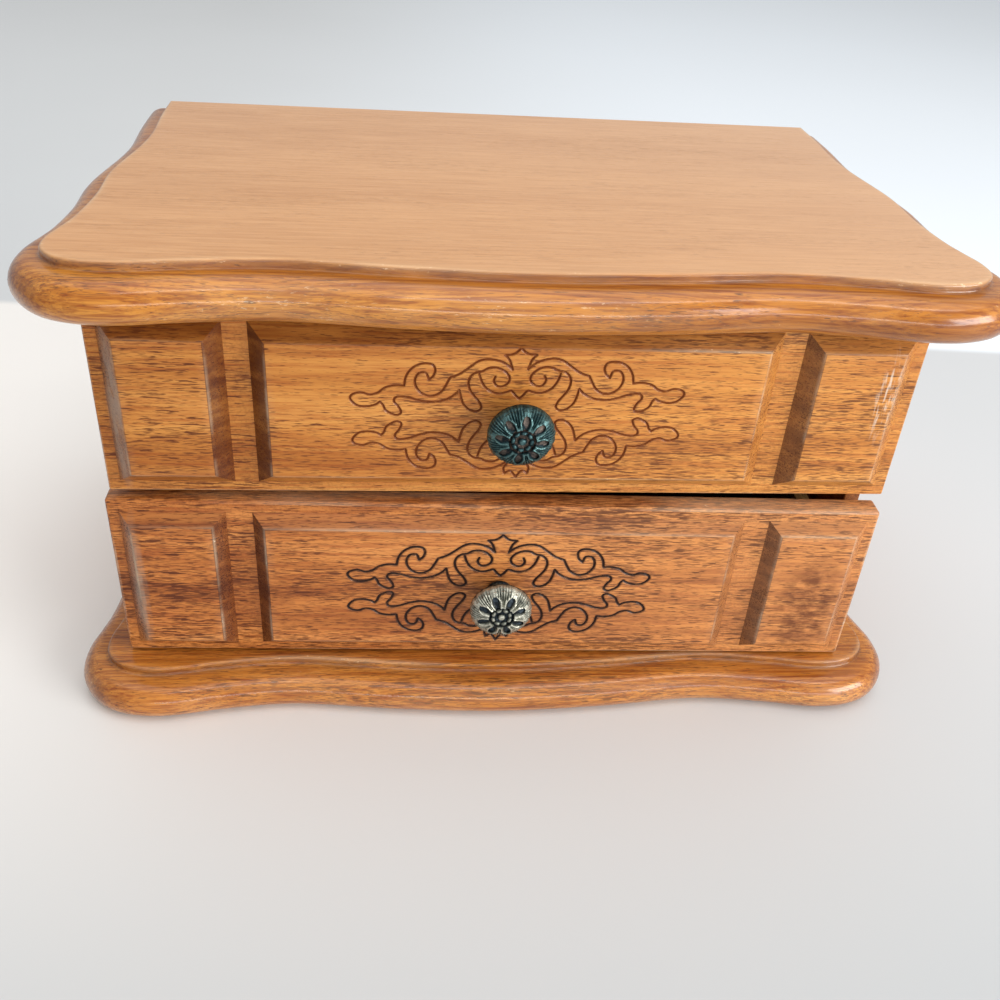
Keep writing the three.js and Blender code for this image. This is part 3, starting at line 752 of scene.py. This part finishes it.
# The scrollwork's upper left quarter, in millimetres from the front's middle. The other quarters
# mirror it, and the lower ones hang a little lower towards their tails.
QUARTER = [
    [(-38.1, 4.1), (-39.4, 3.2), (-41.9, 2.6), (-44.3, 3.0), (-46.0, 4.8), (-45.6, 6.2), (-43.2, 7.0),
     (-40.8, 6.3), (-38.6, 6.9), (-36.5, 8.5), (-33.8, 9.2), (-31.4, 9.1)],
    [(-31.4, 9.1), (-30.9, 11.8), (-29.6, 14.0), (-27.7, 15.4), (-25.6, 15.9), (-23.7, 15.5),
     (-23.0, 14.0), (-23.5, 12.2), (-24.7, 11.0)],
    [(-24.7, 11.0), (-25.5, 13.0), (-27.4, 12.9), (-28.4, 11.2), (-28.3, 9.1), (-27.0, 7.1),
     (-25.1, 6.1), (-23.2, 6.2), (-21.3, 7.4), (-20.2, 9.2), (-19.0, 11.7)],
    [(-19.0, 11.7), (-16.4, 12.8), (-13.8, 14.8), (-11.5, 16.6), (-9.1, 17.3), (-6.4, 17.0),
     (-3.9, 15.9), (-2.1, 14.3)],
    [(-38.1, 4.1), (-37.3, 3.2), (-36.6, 1.5), (-34.8, 0.3), (-33.5, 0.0), (-32.4, 0.8), (-33.1, 2.7),
     (-34.2, 4.1), (-34.0, 5.3), (-32.7, 5.8), (-30.2, 5.5), (-27.0, 4.5), (-23.7, 4.1), (-20.2, 4.9),
     (-17.8, 6.4), (-16.5, 7.9)],
    [(-16.5, 7.9), (-16.0, 5.6), (-15.2, 3.4), (-13.5, 1.7), (-11.5, 1.3), (-10.3, 2.4), (-11.0, 4.3),
     (-12.4, 6.1), (-13.6, 8.1), (-14.0, 10.3), (-13.4, 12.1), (-12.1, 13.2), (-10.2, 13.7),
     (-8.7, 14.6), (-6.5, 14.8), (-4.3, 13.8), (-2.9, 12.0), (-3.2, 10.2), (-4.8, 9.1), (-6.3, 9.3),
     (-7.1, 10.7), (-6.7, 12.1)],
    [(-11.1, 12.7), (-10.3, 10.3), (-9.0, 8.4), (-7.1, 7.2), (-5.2, 6.9), (-3.3, 7.4)],
    [(-3.3, 7.4), (-2.2, 7.7), (-1.0, 6.3), (0, 5.3)],
]
CROWN = [[(-2.1, 14.3), (-3.0, 17.1), (-4.3, 18.6)], [(-4.3, 18.6), (-1.9, 19.0), (0, 20.6)]]
FLEURON = [[(-2.6, -15.6), (-3.6, -17.2), (-3.3, -19.0)], [(-3.3, -19.0), (-1.6, -18.2), (0, -20.4)]]


def scrollwork(tilt, lift):
    """Every engraved line of one front, in metres from its middle."""
    strokes = []
    for quarter in QUARTER:
        curve = smooth_line(quarter, 5)
        above = np.column_stack([curve[:, 0], curve[:, 1] - lift * curve[:, 0]])
        below = np.column_stack([curve[:, 0], 0.3 - curve[:, 1] + 0.05 * curve[:, 0]])
        strokes += [above, below]
    strokes += [smooth_line(part, 4) for part in CROWN + FLEURON]
    strokes += [stroke * (-1, 1) for stroke in strokes]
    turn = np.array([[math.cos(tilt), math.sin(tilt)], [-math.sin(tilt), math.cos(tilt)]])
    return [stroke @ turn * MM for stroke in strokes]


def distance_to_strokes(points, strokes):
    """How far each point is from the nearest stroke, up to BURN_REACH."""
    nearest = np.full(len(points), BURN_REACH)
    for stroke in strokes:
        for a, b in zip(stroke[:-1], stroke[1:]):
            low = np.minimum(a, b) - BURN_REACH
            high = np.maximum(a, b) + BURN_REACH
            near = np.nonzero(np.all((points > low) & (points < high), axis=1))[0]
            along = b - a
            share = np.clip((points[near] - a) @ along / max(along @ along, 1e-15), 0, 1)
            away = np.linalg.norm(points[near] - a - share[:, None] * along, axis=1)
            nearest[near] = np.minimum(nearest[near], away)
    return nearest


def grid_lines(low, high, fine_half):
    """Lines from low to high: FINE within fine_half of the middle, COARSE outside."""
    middle = (low + high) / 2
    half = (high - low) / 2
    inner = min(fine_half, half)
    fine = np.linspace(-inner, inner, 2 * round(inner / FINE) + 1) if inner > 0 else np.zeros(0)
    if half - inner < 0.2 * MM:
        return middle + fine
    steps = max(1, round((half - inner) / COARSE))
    outer = np.linspace(inner, half, steps + 1)
    return middle + np.concatenate([-outer[::-1], fine[1:-1], outer])


def field_profile(relief):
    """A raised field's edge from inside the slab to its flat: inset, height, wear with painted highlight.
    """
    bend = CREST * math.cos(math.pi / 4)
    return [
        (0.0, -SKIRT, 0.0), (0.0, 0.0, 0.0), (0.3 * relief, 0.3 * relief, 0.0),
        (relief - 3 * bend, relief - 3 * bend, 0.1), (relief - bend, relief - bend, 0.8),
        (relief - 0.1 * CREST, relief - 0.25 * CREST, 1.0), (relief + CREST, relief, 0.6),
    ]


def engraving(across, up, strokes, half_width):
    """How much the engraved lines raise or lower points of a flat, and how burnt the points are."""
    points = np.column_stack([across.ravel(), up.ravel()])
    away = distance_to_strokes(points, strokes).reshape(across.shape)
    cut = np.clip(1 - (away / half_width) ** 2, 0, 1)
    lip = np.clip(1 - np.abs(away - half_width * 1.25) / GROOVE_LIP_WIDTH, 0, 1)
    burn = np.clip(1 - away / (2 * half_width), 0, 1)
    return GROOVE_LIP_HEIGHT * lip - GROOVE_DEPTH * cut, burn


def grid_rim(nx, nz):
    """Indices round the rim of a grid whose rows run along X, from its low corner."""
    bottom = list(range(nx))
    right = [j * nx + nx - 1 for j in range(1, nz)]
    top = [(nz - 1) * nx + i for i in range(nx - 2, -1, -1)]
    left = [j * nx for j in range(nz - 2, 0, -1)]
    return bottom + right + top + left


def grid_faces(nx, nz):
    return [(a, a + 1, a + nx + 1, a + nx) for j in range(nz - 1) for a in range(j * nx, j * nx + nx - 1)]


def edge_ring(rim_points, middle, grow, height):
    """The flat's rim grown about the field's middle and set at a height."""
    ring = np.full_like(rim_points, height)
    ring[:, ::2] = middle + (rim_points[:, ::2] - middle) * grow
    return ring


def field(x0, x1, z0, z1, relief, stain, engrave):
    """One raised field as points (x, out, z), faces, burn, wear with painted highlight, and stain with
    painted shade.
    """
    profile = field_profile(relief)
    inset = profile[-1][0]
    flat = (x0 + inset, x1 - inset, z0 + inset, z1 - inset)
    xs = grid_lines(flat[0], flat[1], ENGRAVED_X if engrave else 0)
    zs = grid_lines(flat[2], flat[3], ENGRAVED_Z if engrave else 0)
    nx, nz = len(xs), len(zs)
    gx, gz = np.meshgrid(xs, zs)
    out = np.full(gx.shape, relief)
    burn = np.zeros(gx.shape)
    middle = np.array([(x0 + x1) / 2, (z0 + z1) / 2])
    if engrave:
        carved, burn = engraving(gx - middle[0], gz - engrave["middle_z"], engrave["strokes"],
                                 engrave["half_width"])
        out += carved
    rim = grid_rim(nx, nz)
    faces = grid_faces(nx, nz)
    points = [np.column_stack([gx.ravel(), out.ravel(), gz.ravel()])]
    burns, wears, stains_and_shades = [burn.ravel()], [np.zeros(nx * nz)], [np.zeros(len(faces))]
    wears[0][rim] = RIM_WEAR_AND_HIGHLIGHT
    half = np.array([(flat[1] - flat[0]) / 2, (flat[3] - flat[2]) / 2])
    previous = np.array(rim)
    start = nx * nz
    for step_in, height, worn in reversed(profile[:-1]):
        points.append(edge_ring(points[0][rim], middle, (half + inset - step_in) / half, height))
        burns.append(np.zeros(len(rim)))
        wears.append(np.full(len(rim), worn))
        stains_and_shades.append(np.repeat(stain, (nx - 1, nz - 1, nx - 1, nz - 1)))
        current = np.arange(start, start + len(rim))
        start += len(rim)
        quads = [previous, current, np.roll(current, -1), np.roll(previous, -1)]
        faces += [tuple(quad) for quad in np.column_stack(quads).tolist()]
        previous = current
    faces.append(tuple(previous[::-1].tolist()))
    stains_and_shades.append([0])
    return np.vstack(points), faces, np.concatenate(burns), np.concatenate(wears), np.concatenate(stains_and_shades)


def field_spans(x0, x1, relief, stile):
    """Side field, centre field, side field, from left to right."""
    middle = (x0 + x1) / 2
    foot = (x1 - x0) / 2 - EDGE_STRIP
    inner = foot - OUTER_FIELD - 2 * relief
    spans = [(-foot, -inner), (stile - inner, inner - stile), (inner, foot)]
    return [(middle + a, middle + b) for a, b in spans]


def edge_distance(points, low, high):
    """How far points are from the nearest end, top or bottom of a front."""
    ends = np.minimum(np.abs(points[:, 0] - low.x), np.abs(points[:, 0] - high.x))
    rails = np.minimum(np.abs(points[:, 2] - low.z), np.abs(points[:, 2] - high.z))
    return np.minimum(ends, rails)


def add_front(level, material, slot):
    node = f"{level}_drawer_front"
    low, high = straight_box(node)
    relief = (high.y - low.y) - FRONT_GROUND
    ground_y = low.y + relief
    rounding = SLAB_ROUNDING[level]
    slab_points, slab_faces = rounded_block((low.x, ground_y, low.z), high, rounding, 3, 30 * MM)
    parts = [(slab_points, slab_faces)]
    wear = [np.where(edge_distance(slab_points, low, high) < 0.9 * rounding, 0.8, 0.0)]
    burn = [np.zeros(len(slab_points))]
    rout = [np.ones(len(slab_points))]
    stain = [np.zeros(len(slab_faces))]
    strokes = scrollwork(ORNAMENT_TILT[level], TAIL_LIFT[level])
    for k, (x0, x1) in enumerate(field_spans(low.x, high.x, relief, STILE[level])):
        engrave = {
            "strokes": strokes, "middle_z": (low.z + high.z) / 2, "half_width": GROOVE_HALF_WIDTH[level],
        } if k == 1 else None
        points, faces, burns, wears, stains_and_shades = field(
            x0, x1, low.z + RAIL_BELOW, high.z - RAIL_ABOVE, relief, BEVEL_STAIN_AND_SHADE[level][k], engrave)
        points[:, 1] = ground_y - points[:, 1]
        parts.append((points, faces))
        burn.append(burns)
        wear.append(wears)
        rout.append(np.zeros(len(points)))
        stain.append(stains_and_shades)
    points, faces = merge(*parts)
    piece = make(f"{level}_front_panelled", turned(points, rack_of(node)), faces, material,
                 sharp=FRONT_SHARP, burn=np.concatenate(burn), wear=np.concatenate(wear),
                 rout=np.concatenate(rout), stain=np.concatenate(stain))
    settle(piece, slot, node)


# ---- Knobs ----
KNOB_PETALS = 8
KNOB_SPOKES = 256
KNOB_ANGLES = np.linspace(0, 2 * math.pi, KNOB_SPOKES, endpoint=False)
KNOB_RINGS = 46
KNOB_TURN = {"upper": math.radians(7), "lower": math.radians(-19.5)}
KNOB_RIM_HEIGHT = 9.3 * MM
KNOB_PERIOD = 2 * math.pi / KNOB_PETALS

# Shares of the knob's radius.
KNOB_CENTRE = 0.37               # where the rosette in the middle ends and the hollows begin
HOLLOW_LENGTH = 0.42
HOLLOW_HALF_WIDTH = 0.15
PETAL_RING = 0.275
PETAL_RING_HALF = 0.085
BEAD_RADIUS = 0.15

HOLLOW_DEPTH = 1.2 * MM
LIP_HEIGHT = 0.16 * MM
LIP_HALF_WIDTH = 0.45 * MM
RIDGE_DEPTH = 0.24 * MM
RIDGE_SPREAD = 0.37              # half the fan of ridges between two hollows, in radians
RIDGE_PITCH = 0.098              # from one ridge to the next, in radians
CENTRE_DEPTH = 1.3 * MM
MOAT_DEPTH = 0.7 * MM
RELIEF_RANGE = 1.3 * MM          # the depth that takes the painted relief down by 1


def bulge(value, centre, half):
    """A smooth bump of height 1 at centre, 0 beyond half away."""
    share = np.clip(1 - ((value - centre) / half) ** 2, 0, 1)
    return share * share * (3 - 2 * share)


def knob_hollows(radius, across, rim):
    """The half width of the hollows, and the height lost in them and gained on their lips."""
    share = np.clip((radius - KNOB_CENTRE * rim) / (HOLLOW_LENGTH * rim), 0, 1)
    widening = np.sqrt(np.clip(share * 1.5 + 0.2, 0, 1)) * np.sqrt(np.clip(1 - share**5, 0, 1))
    half = HOLLOW_HALF_WIDTH * rim * widening
    inside = (share > 0) & (share < 1)
    hollow = np.where(inside, bulge(across, 0, np.maximum(half, 1e-6)) ** 0.7, 0)
    lip = np.where(inside, bulge(np.abs(across), 1.15 * half, LIP_HALF_WIDTH), 0)
    return half, HOLLOW_DEPTH * hollow * (0.5 + 0.5 * share) - LIP_HEIGHT * lip


def knob_ridges(radius, petal, across, half, rim):
    """The height lost between the ridges that fan out between the hollows."""
    rib = KNOB_PERIOD / 2 - np.abs(petal)
    fan = bulge(rib, 0, RIDGE_SPREAD) ** 0.5 * np.clip((radius / rim - 0.4) / 0.12, 0, 1)
    outside = 1.25 * half / np.maximum(np.abs(across), 1e-6) < 1
    return RIDGE_DEPTH * fan * (1 - np.cos(2 * math.pi * rib / RIDGE_PITCH)) * outside


def knob_middle(radius, angle, rim):
    """The height lost round the bead and the ring of small petals in the middle."""
    arcs = np.abs(np.cos(angle * KNOB_PETALS / 2)) ** 0.6
    ring = bulge(radius, PETAL_RING * rim, PETAL_RING_HALF * rim) ** 0.7 * (0.35 + 0.65 * arcs)
    bead = bulge(radius, 0, BEAD_RADIUS * rim) ** 0.5
    return CENTRE_DEPTH * (1 - np.maximum(0.9 * ring, bead))


def knob_relief(radius, angle, rim):
    """Height lost below the dome for points of the knob's face; a little less than 0 on the lips."""
    petal = (angle / KNOB_PERIOD - np.round(angle / KNOB_PERIOD)) * KNOB_PERIOD
    across = radius * petal
    half, hollows = knob_hollows(radius, across, rim)
    ridges = knob_ridges(radius, petal, across, half, rim)
    moat = MOAT_DEPTH * bulge(radius, 0.38 * rim, 0.03 * rim)
    return np.where(radius < KNOB_CENTRE * rim, knob_middle(radius, angle, rim), hollows + ridges + moat)


def knob_ring(radius, out):
    """Points (x, out, z) round the knob's axis."""
    return np.column_stack([radius * np.cos(KNOB_ANGLES), np.full(KNOB_SPOKES, out),
                            radius * np.sin(KNOB_ANGLES)])


def knob_face(rim, height, turn):
    """Rings of the face from its rim to its middle, and their relief."""
    points, relief = [], []
    for radius in rim * np.linspace(1, 0, KNOB_RINGS)[:-1] ** 0.92:
        share = radius / rim
        dome = KNOB_RIM_HEIGHT + (height - KNOB_RIM_HEIGHT) * (1 - share**3.2) ** 0.62
        lost = knob_relief(np.full(KNOB_SPOKES, radius), KNOB_ANGLES + turn, rim)
        lost *= min(1, (1 - share) * 7 + 0.4)
        scallop = 1 - 0.012 * (share > 0.9) * (1 + np.cos(KNOB_ANGLES * KNOB_PETALS * 3))
        points.append(knob_ring(radius * scallop, dome - lost))
        relief.append(np.clip(0.85 - lost / RELIEF_RANGE, 0, 1))
    return points, relief


# The knob's back from its foot's bore to under its rim: radius and height off the front, in millimetres.
KNOB_BACK = [(1.9, 0), (3.6, 0), (3.95, 0.3), (3.9, 0.9), (3.5, 1.5), (3.2, 2.3), (3.1, 3.4), (3.3, 4.7),
             (4.3, 5.9), (6.2, 7.0), (8.0, 7.6), (8.9, 8.1), (9.25, 8.6)]
KNOB_BACK_RELIEF = 0.35


def add_knob(level, material, slot):
    node = f"{level}_knob"
    low, high = straight_box(node)
    rim = (high.x - low.x) / 2
    height = high.y - low.y
    back = [knob_ring(radius * MM, out * MM) for radius, out in KNOB_BACK]
    back_relief = [np.full(KNOB_SPOKES, KNOB_BACK_RELIEF)] * len(back)
    face, face_relief = knob_face(rim, height, KNOB_TURN[level])
    points = np.vstack(back + face)
    faces = ring_faces(len(back + face), KNOB_SPOKES)
    points = np.column_stack([points[:, 0] + (low.x + high.x) / 2, high.y - points[:, 1],
                              points[:, 2] + (low.z + high.z) / 2])
    piece = make(f"{level}_rosette", turned(points, rack_of(node)), faces, material, sharp=60,
                 relief=np.concatenate(back_relief + face_relief))
    settle(piece, slot, node)


# ---- Velvet pieces ----
def wrinkle(points, amount, scale, axis, seed):
    """Moves points along one axis by a smooth seeded noise."""
    phase = np.random.default_rng(seed).uniform(0, 6.28, 6)
    x, y = points[:, 0] * scale, points[:, 1] * scale
    wave = (np.sin(x + phase[0]) * np.sin(y * 1.3 + phase[1])
            + 0.6 * np.sin(2.3 * x + phase[2]) * np.sin(1.9 * y + phase[3])
            + 0.3 * np.sin(4.7 * x + phase[4]) * np.sin(5.1 * y + phase[5]))
    points[:, axis] += amount * wave / 1.9


def add_lining(node, material, seed):
    """A thin pad on a card base, pulled tight at its edges."""
    low, high = straight_box(node)
    points, faces = rounded_block(low, high, 0.55 * MM, 3, 4 * MM)
    top = points[:, 2] > low.z + 0.6 * MM
    lifted = points[top]
    wrinkle(lifted, 0.12 * MM, 160, 2, seed)
    points[top] = lifted
    piece = make(f"{node}_pad", turned(points, rack_of(node)), faces, material)
    settle(piece, "velvet", node)


def add_partition(node, material):
    low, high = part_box(node)
    points, faces = rounded_block(low, high, 0.9 * MM, 4, 5 * MM)
    settle(make(f"{node}_covered", points, faces, material), "velvet", node)


def roll_mesh(low, high):
    """A padded roll lying along X: an arch in section, closing in a little at its ends."""
    width, depth, height = (high[k] - low[k] for k in range(3))
    angles = np.linspace(0, math.pi, 25)
    section = [(-0.5, 0.06), (-0.46, 0.0)] + [(x, 0.0) for x in np.linspace(-0.4, 0.4, 9)]
    section += [(0.46, 0.0), (0.5, 0.06)]
    section += [(0.5 * math.cos(a), 0.3 + 0.7 * math.sin(a)) for a in angles]
    along = np.linspace(0, 1, 41)
    rings = []
    for share in along:
        end = min(share, 1 - share) * width
        shrink = 1 - 0.22 * max(0, 1 - end / (3 * MM)) ** 2
        rings.append([(low[0] + share * width,
                       (low[1] + high[1]) / 2 + y * depth * shrink,
                       low[2] + z * height * shrink) for y, z in section])
    return np.array(rings).reshape(-1, 3), ring_faces(len(rings), len(section))


def add_roll(node, material):
    low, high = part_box(node)
    points, faces = roll_mesh(low, high)
    piece = make(f"{node}_stuffed", points, faces, material, sharp=70)
    settle(piece, "velvet", node)


def add_velvet():
    cloth = velvet()
    add_lining("tray_lining", cloth, 1)
    add_lining("upper_drawer_lining", cloth, 2)
    add_lining("lower_drawer_lining", cloth, 3)
    for node in ("tray_partition", "upper_drawer_partition_1", "upper_drawer_partition_2"):
        add_partition(node, cloth)
    for node in sorted(NODES):
        if node.startswith("ring_roll"):
            add_roll(node, cloth)


# ---- CAD nodes that stay ----
def finish_node(node, material, edge):
    """Gives a CAD node its material and softly rounded edges."""
    piece = NODES[node]
    piece.data.materials.clear()
    piece.data.materials.append(material)
    piece.modifiers.new("weld", "WELD").merge_threshold = 0.01 * MM
    soften = piece.modifiers.new("soften", "BEVEL")
    soften.width = edge
    soften.segments = 2
    soften.limit_method = "ANGLE"
    soften.angle_limit = math.radians(40)
    soften.harden_normals = False


def finish_wood(lid):
    case, case_deep = carcass_wood("X"), carcass_wood("Y")
    inside, inside_deep = box_wood("X"), box_wood("Y")
    for node in ("back_panel", "drawer_divider", "tray_front_rail", "tray_floor"):
        finish_node(node, case, 0.4 * MM)
    for node in ("left_side_panel", "right_side_panel"):
        finish_node(node, case_deep, 0.4 * MM)
    for node in sorted(NODES):
        if "guide" in node or node.endswith("_side"):
            finish_node(node, inside_deep, 0.3 * MM)
        elif node.endswith(("box_front", "drawer_back", "drawer_bottom")):
            finish_node(node, inside, 0.3 * MM)
    finish_node("mirror_frame", lid, 0.8 * MM)


def finish_metal():
    brass = plain_metal("brass", srgb(196, 160, 96), srgb(138, 106, 58), 0.3)
    steel = plain_metal("steel", srgb(176, 176, 174), srgb(104, 102, 98), 0.32)
    for node in sorted(NODES):
        if "hinge" in node:
            finish_node(node, brass, 0.12 * MM)
        elif node.endswith("knob_screw"):
            finish_node(node, steel, 0.12 * MM)
    finish_node("mirror", mirror_glass(), 0.3 * MM)


# ---- Scene ----
FLOOR_HALF = 4.0
BACKDROP_Y = 0.214         # where the backdrop's tone begins, behind the middle of the box
BACKDROP_SLOPE = 0.067     # how much nearer that is, per unit of length to the right


def floor_with_painted_light():
    """A pale sheet: warm white under the box and a cooler white behind it, with painted light and shade:
    the warm white is painted brighter to the left and darker to the right and the front, and the cooler
    white brighter to the right.
    """
    paint = Shader("floor_with_painted_light")
    cloud = paint.noise((3, 3, 3), 3)
    axes = paint.node("SeparateXYZ", {0: paint.place})
    across = paint.span(axes.outputs["X"], -0.25, 0.28, smooth=True)
    # painted light to the left, painted shade to the right
    near = paint.mix(across, srgb(255, 252, 248), srgb(207, 209, 211))
    # painted shade towards the front
    near = paint.mix(paint.span(axes.outputs["Y"], -0.28, 0.03, smooth=True), srgb(176, 181, 184), near)
    far = paint.mix(cloud, srgb(214, 217, 219), srgb(221, 224, 226))
    # painted light: the cooler white brightens to the right
    far = paint.mix(across, far, srgb(240, 247, 254))
    depth = paint.plus(axes.outputs["Y"], paint.times(axes.outputs["X"], BACKDROP_SLOPE))
    behind = paint.span(depth, BACKDROP_Y - 4 * MM, BACKDROP_Y + 4 * MM, smooth=True)
    paint.colour(paint.mix(behind, near, far))
    paint.roughness(paint.span(cloud, 0.3, 0.7, 0.5, 0.6))
    return paint.material


def add_stage():
    half = FLOOR_HALF
    corners = [(-half, -half, 0), (half, -half, 0), (half, half, 0), (-half, half, 0)]
    make("floor", corners, [(0, 1, 2, 3)], floor_with_painted_light())


add_camera()
add_lights()
add_stage()
lid_material = lid_wood()
add_board("lid_board", lid_material, "lid_wood")
add_board("base_board", base_wood(), "base_wood")
add_front("upper", upper_front_wood(), "upper_front_wood")
add_front("lower", lower_front_wood(), "lower_front_wood")
add_knob("upper", dark_patina(), "dark_knob")
add_knob("lower", pewter(), "pewter_knob")
add_velvet()
finish_wood(lid_material)
finish_metal()

bpy.context.view_layer.update()
